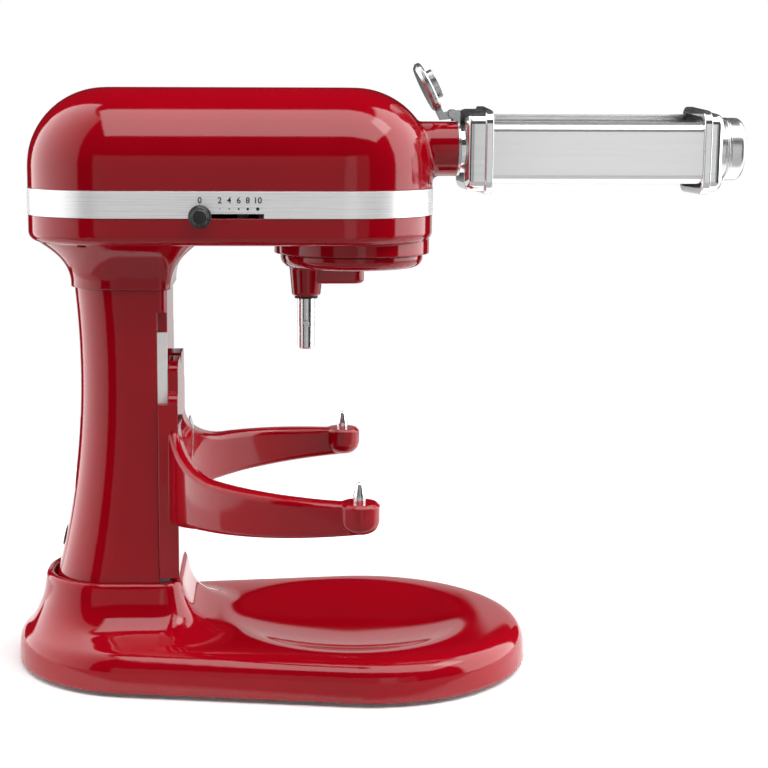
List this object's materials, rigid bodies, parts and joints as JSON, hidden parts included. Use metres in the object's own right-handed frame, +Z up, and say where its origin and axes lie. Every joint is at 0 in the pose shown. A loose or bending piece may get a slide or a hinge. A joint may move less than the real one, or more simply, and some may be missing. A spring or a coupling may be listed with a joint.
{
  "type": "stand mixer",
  "caption": "Bowl-lift stand mixer with an enamelled cast body, planetary beater drive, sliding speed lever, crank-raised bowl yoke and a pasta roller fitted to its front hub.",
  "frame": {"origin": "on the table under the middle of the part's box, between the base and the roller that stands out at the front", "axes": "+X forward along the head towards the attachment hub, +Y away from the side with the speed lever, +Z up"},
  "size_m": [0.524, 0.289, 0.4339],
  "materials": {
    "red_enamel": "gloss",
    "satin_band": "satin",
    "chrome_trim": "polished",
    "roller_casing": "polished",
    "roller_steel": "polished",
    "bright_steel": "polished",
    "machine_steel": "machined",
    "pale_nylon": "matte",
    "bronze": "machined",
    "copper": "machined",
    "laminated_iron": "matte",
    "cast_alloy": "cast",
    "black_plastic": "satin",
    "black_rubber": "matte",
    "base_plate": "matte"
  },
  "bodies": {
    "stand": {"base": "red_enamel", "base_cover": "base_plate", "rubber_feet": "black_rubber", "column": "red_enamel", "guide_rails": "pale_nylon", "lift_bush": "bronze", "gearcase": "red_enamel", "top_cover": "red_enamel", "trim_band": "satin_band", "housing_screws": "bright_steel", "cord_grommet": "black_rubber", "ring_gear": "machine_steel", "motor_stator": "laminated_iron", "motor_mounts": "cast_alloy", "brush_holders": "black_plastic", "gear_bridge": "cast_alloy", "shaft_bearings": "bronze", "hub_sleeve": "machine_steel", "hub_ring": "chrome_trim", "hub_cap_pin": "chrome_trim", "speed_guide": "pale_nylon"},
    "planetary": {"planetary_carrier": "red_enamel", "carrier_pin": "machine_steel", "beater_bushes": "bronze", "planetary_shaft": "machine_steel", "main_gear": "machine_steel", "main_bevel_gear": "machine_steel"},
    "beater_drive": {"beater_shaft": "bright_steel", "beater_pin": "bright_steel", "shaft_washer": "black_rubber", "planet_pinion": "machine_steel"},
    "worm_wheel_drive": {"worm_wheel": "bronze", "pinion_shaft": "machine_steel"},
    "motor": {"worm_shaft": "machine_steel", "motor_rotor": "laminated_iron", "commutator": "copper", "motor_fan": "pale_nylon"},
    "hub_drive": {"hub_bevel_gear": "machine_steel", "hub_drive_shaft": "machine_steel"},
    "speed_control": {"speed_lever": "bright_steel", "speed_knob": "black_plastic"},
    "cap": {"hub_cap": "chrome_trim"},
    "thumb_screw": {"hub_thumb_screw": "black_plastic"},
    "lift_handle": {"lift_crank": "machine_steel", "lift_lever": "bright_steel", "lift_grip": "black_plastic"},
    "bowl_support": {"bowl_yoke": "red_enamel", "bowl_pins": "bright_steel", "bowl_clip": "bright_steel", "lift_link": "machine_steel"},
    "roller_unit": {"roller_inner_cover": "roller_casing", "roller_outer_cover": "roller_casing", "roller_side_plates": "roller_steel", "roller_front_cover": "roller_casing", "roller_back_cover": "roller_casing"},
    "roller_drive": {"drive_roller": "roller_steel"},
    "gap_adjuster": {"gap_knob": "chrome_trim"},
    "roller_carriage": {"roller_bearing_blocks": "bronze"},
    "roller_idle": {"idle_roller": "roller_steel"}
  },
  "joints": [
    {"name": "planetary_spin", "type": "hinge", "parent": "stand", "child": "planetary", "pos_m": [-0.018, 0, 0.3], "axis": [0, 0, 1], "continuous": true},
    {"name": "beater_spin", "type": "hinge", "parent": "planetary", "child": "beater_drive", "pos_m": [-0.0505, 0, 0.27], "axis": [0, 0, 1], "continuous": true},
    {"name": "worm_wheel_spin", "type": "hinge", "parent": "stand", "child": "worm_wheel_drive", "pos_m": [-0.06388, 0.028, 0.36], "axis": [0, 0, 1], "continuous": true},
    {"name": "motor_spin", "type": "hinge", "parent": "stand", "child": "motor", "pos_m": [-0.15, 0, 0.36], "axis": [1, 0, 0], "continuous": true},
    {"name": "hub_spin", "type": "hinge", "parent": "stand", "child": "hub_drive", "pos_m": [0.02, 0, 0.374], "axis": [1, 0, 0], "continuous": true},
    {"name": "speed_slide", "type": "slide", "parent": "stand", "child": "speed_control", "axis": [1, 0, 0], "range_m": [0, 0.0385]},
    {"name": "cap_hinge", "type": "hinge", "parent": "stand", "child": "cap", "pos_m": [0.0527, 0, 0.3985], "axis": [0, 1, 0], "range_deg": [0, 105]},
    {"name": "thumb_screw_turn", "type": "hinge", "parent": "stand", "child": "thumb_screw", "pos_m": [0.044, 0.0282, 0.374], "axis": [0, 1, 0], "range_deg": [0, 720]},
    {"name": "lift_lever_turn", "type": "hinge", "parent": "stand", "child": "lift_handle", "pos_m": [-0.1795, 0.046, 0.175], "axis": [0, 1, 0], "range_deg": [0, 180]},
    {"name": "bowl_lift", "type": "slide", "parent": "stand", "child": "bowl_support", "axis": [0, 0, 1], "range_m": [0, 0.034]},
    {"name": "roller_pull_off", "type": "slide", "parent": "stand", "child": "roller_unit", "axis": [1, 0, 0], "range_m": [0, 0.06]},
    {"name": "drive_roller_spin", "type": "hinge", "parent": "roller_unit", "child": "roller_drive", "pos_m": [0.15, 0, 0.374], "axis": [1, 0, 0], "continuous": true},
    {"name": "gap_knob_turn", "type": "hinge", "parent": "roller_unit", "child": "gap_adjuster", "pos_m": [0.2525, 0.0125, 0.374], "axis": [1, 0, 0], "range_deg": [0, 315]},
    {"name": "roller_gap", "type": "slide", "parent": "roller_unit", "child": "roller_carriage", "axis": [0, 1, 0], "range_m": [0, 0.0025]},
    {"name": "idle_roller_spin", "type": "hinge", "parent": "roller_carriage", "child": "roller_idle", "pos_m": [0.15, 0.025, 0.374], "axis": [1, 0, 0], "continuous": true}
  ],
  "couplings": [
    {"joint": "beater_spin", "follows": "planetary_spin", "ratio": -3.1667},
    {"joint": "worm_wheel_spin", "follows": "planetary_spin", "ratio": -2.9091},
    {"joint": "motor_spin", "follows": "planetary_spin", "ratio": 23.273},
    {"joint": "hub_spin", "follows": "planetary_spin", "ratio": 1.25},
    {"joint": "drive_roller_spin", "follows": "planetary_spin", "ratio": 1.25},
    {"joint": "idle_roller_spin", "follows": "planetary_spin", "ratio": -1.25},
    {"joint": "lift_lever_turn", "follows": "bowl_lift", "rad_per_m": 92.4},
    {"joint": "roller_gap", "follows": "gap_knob_turn", "m_per_rad": 0.00045472}
  ]
}
